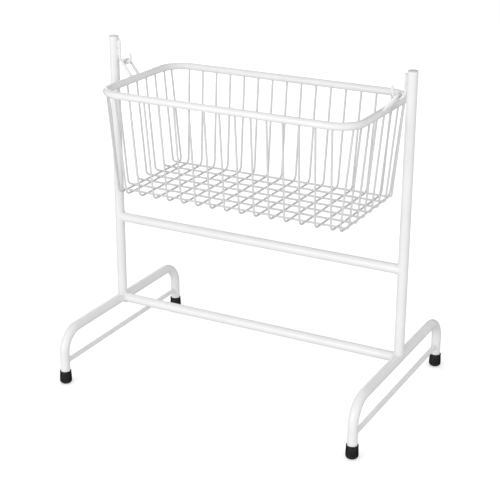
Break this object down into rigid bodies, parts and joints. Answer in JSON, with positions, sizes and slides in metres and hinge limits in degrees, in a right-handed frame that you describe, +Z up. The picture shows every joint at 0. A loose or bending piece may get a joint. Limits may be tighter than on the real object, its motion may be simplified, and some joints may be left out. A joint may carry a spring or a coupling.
{
  "type": "baby cradle",
  "caption": "Hanging baby cradle: a white wire basket with stirrups that swings on two J-hooks between the posts of a tubular steel stand with arched legs and rubber feet.",
  "frame": {"origin": "on the floor, in the middle between the four feet", "axes": "+X along the basket towards the right end, +Y across it towards the back, +Z up"},
  "size_m": [0.8684, 0.6024, 0.888],
  "materials": {
    "white_powder_coat": "satin white powder coat over steel tube, rod and wire",
    "black_rubber": "matt black moulded rubber",
    "grey_plastic": "matt grey moulded plastic"
  },
  "bodies": {
    "stand": {"post_left": "white_powder_coat", "post_right": "white_powder_coat", "post_plug_left": "grey_plastic", "post_plug_right": "grey_plastic", "leg_arch_left": "white_powder_coat", "leg_arch_right": "white_powder_coat", "crossbar_upper": "white_powder_coat", "crossbar_lower": "white_powder_coat", "strut_left": "white_powder_coat", "strut_right": "white_powder_coat", "foot_front_left": "black_rubber", "foot_front_right": "black_rubber", "foot_back_left": "black_rubber", "foot_back_right": "black_rubber", "hook_left": "white_powder_coat", "hook_right": "white_powder_coat"},
    "basket": {"basket_rim": "white_powder_coat", "stirrup_left": "white_powder_coat", "stirrup_right": "white_powder_coat", "cross_wires": "white_powder_coat", "corner_wires": "white_powder_coat", "long_wires": "white_powder_coat"}
  },
  "joints": [
    {"name": "basket_swing", "type": "hinge", "parent": "stand", "child": "basket", "pos_m": [0, 0, 0.817], "axis": [1, 0, 0], "range_deg": [-20, 20]}
  ]
}
